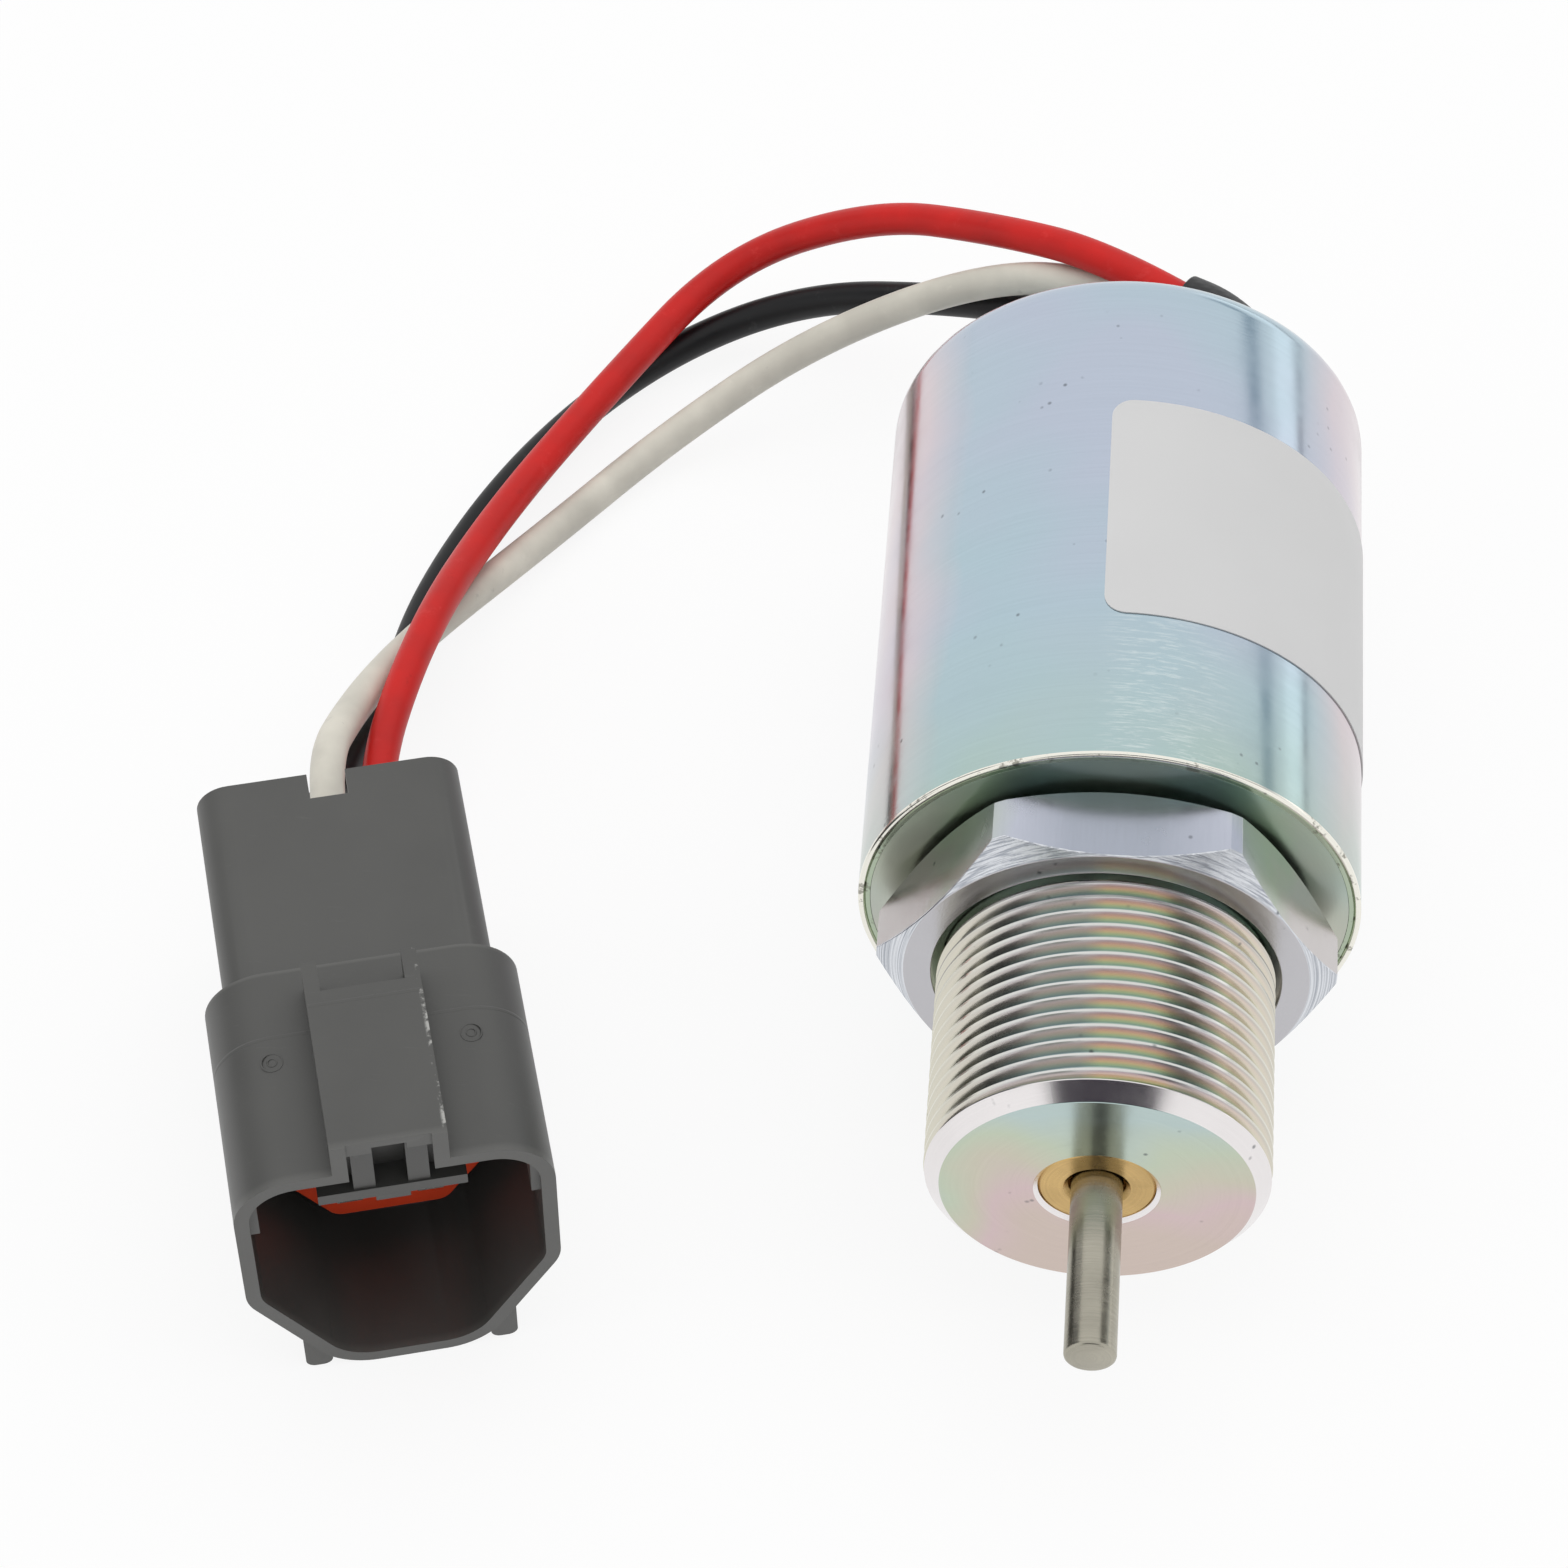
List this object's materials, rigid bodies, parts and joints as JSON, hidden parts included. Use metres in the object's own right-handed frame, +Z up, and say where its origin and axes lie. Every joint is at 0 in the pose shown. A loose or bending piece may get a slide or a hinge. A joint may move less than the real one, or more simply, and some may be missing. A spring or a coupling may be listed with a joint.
{
  "type": "fuel shutoff solenoid",
  "caption": "Cylindrical pull-in solenoid with a threaded boss, lock nut and sliding plunger rod, on leads that end in a sealed plastic connector.",
  "frame": {"origin": "on the solenoid's axis, in the flange face that the threaded boss stands out of", "axes": "+Y runs along the solenoid's axis from the boss towards the can's closed end, +Z is up as the part lies, +X is to the right seen from the plunger's end"},
  "size_m": [0.1057, 0.14, 0.0451],
  "materials": {
    "can_zinc": "bright zinc plating with a pale blue passivate",
    "base_zinc": "bright zinc plating with a greenish yellow passivate",
    "nut_zinc": "bright zinc plating",
    "bush_brass": "machined",
    "rod_steel": "turned steel",
    "core_iron": "turned soft iron",
    "washer_rubber": "matt",
    "spring_steel": "drawn spring wire",
    "tube_brass": "drawn",
    "bobbin_nylon": "moulded",
    "copper_wire": "enamelled copper wire",
    "winding_tape": "tape",
    "potting_resin": "cast resin",
    "tinned_copper": "tin plated",
    "black_rubber": "matt",
    "sleeve_black": "satin",
    "label_pale": "satin film",
    "insulation_red": "satin insulation",
    "insulation_black": "satin insulation",
    "insulation_white": "satin insulation",
    "connector_gray": "moulded",
    "retainer_orange": "moulded",
    "seal_rubber": "silicone rubber"
  },
  "bodies": {
    "solenoid": {"housing_can": "can_zinc", "threaded_base": "base_zinc", "guide_bush": "bush_brass", "stop_washer": "washer_rubber", "guide_tube": "tube_brass", "fixed_core": "core_iron", "pole_plate": "core_iron", "return_spring": "spring_steel", "coil_bobbin": "bobbin_nylon", "pull_in_winding": "copper_wire", "hold_in_winding": "copper_wire", "winding_wrap": "winding_tape", "rear_potting": "potting_resin", "lead_splices": "tinned_copper", "lead_grommet": "black_rubber", "lead_sleeve": "sleeve_black", "rating_label": "label_pale", "wire_red": "insulation_red", "wire_black": "insulation_black", "wire_white": "insulation_white", "connector_housing": "connector_gray", "front_retainer": "retainer_orange", "terminal_1": "tinned_copper", "terminal_2": "tinned_copper", "terminal_3": "tinned_copper", "wire_seal_1": "seal_rubber", "wire_seal_2": "seal_rubber", "wire_seal_3": "seal_rubber"},
    "plunger": {"plunger_rod": "rod_steel", "armature": "core_iron"},
    "lock_nut": {"lock_nut": "nut_zinc"}
  },
  "joints": [
    {"name": "plunger_slide", "type": "slide", "parent": "solenoid", "child": "plunger", "axis": [0, 1, 0], "range_m": [0, 0.01], "stiffness_N_per_m": 1000, "springref_m": -0.01, "deforming": ["return_spring"]},
    {"name": "lock_nut_turn", "type": "hinge", "parent": "solenoid", "child": "lock_nut", "pos_m": [0, -0.0043, 0], "axis": [0, 1, 0], "continuous": true}
  ]
}
